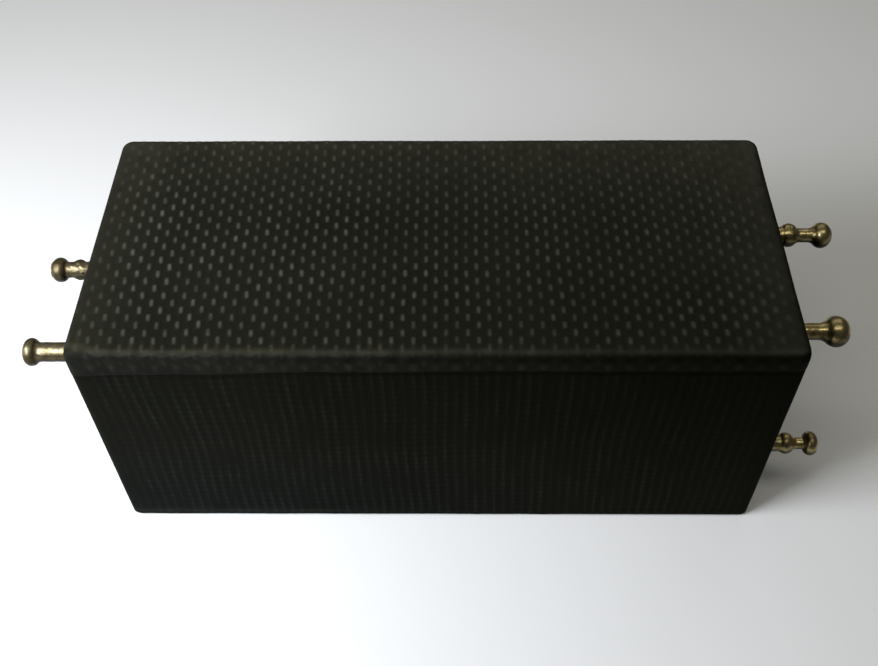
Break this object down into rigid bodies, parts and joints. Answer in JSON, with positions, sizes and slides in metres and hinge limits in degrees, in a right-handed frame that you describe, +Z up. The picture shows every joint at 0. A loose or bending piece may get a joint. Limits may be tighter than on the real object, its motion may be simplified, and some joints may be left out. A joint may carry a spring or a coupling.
{
  "type": "high voltage mica capacitor",
  "caption": "Black potted mica capacitor block in a woven glass-cloth wrap, with turned brass solder terminals on both ends.",
  "frame": {"origin": "bottom centre of the box around the whole object, on the face it rests on", "axes": "+X along the block's length towards the end with three terminals, -Y towards the front with the lap, +Z up"},
  "size_m": [0.1061, 0.0387, 0.0384],
  "materials": {
    "wrap": "satin",
    "resin": "satin",
    "terminal": "satin",
    "mica": "matte",
    "copper": "satin"
  },
  "bodies": {
    "root": {"cloth_wrap": "wrap", "resin_fill": "resin", "terminal_left_front": "terminal", "terminal_left_rear": "terminal", "terminal_right_front": "terminal", "terminal_right_rear": "terminal", "terminal_right_low": "terminal", "mica_section_1": "mica", "mica_section_2": "mica", "mica_section_3": "mica", "mica_section_4": "mica", "series_link_1": "copper", "series_link_2": "copper", "series_link_3": "copper", "lead_left_front": "copper", "lead_left_rear": "copper", "lead_right_front": "copper", "lead_right_rear": "copper", "lead_right_low": "copper"}
  },
  "joints": []
}
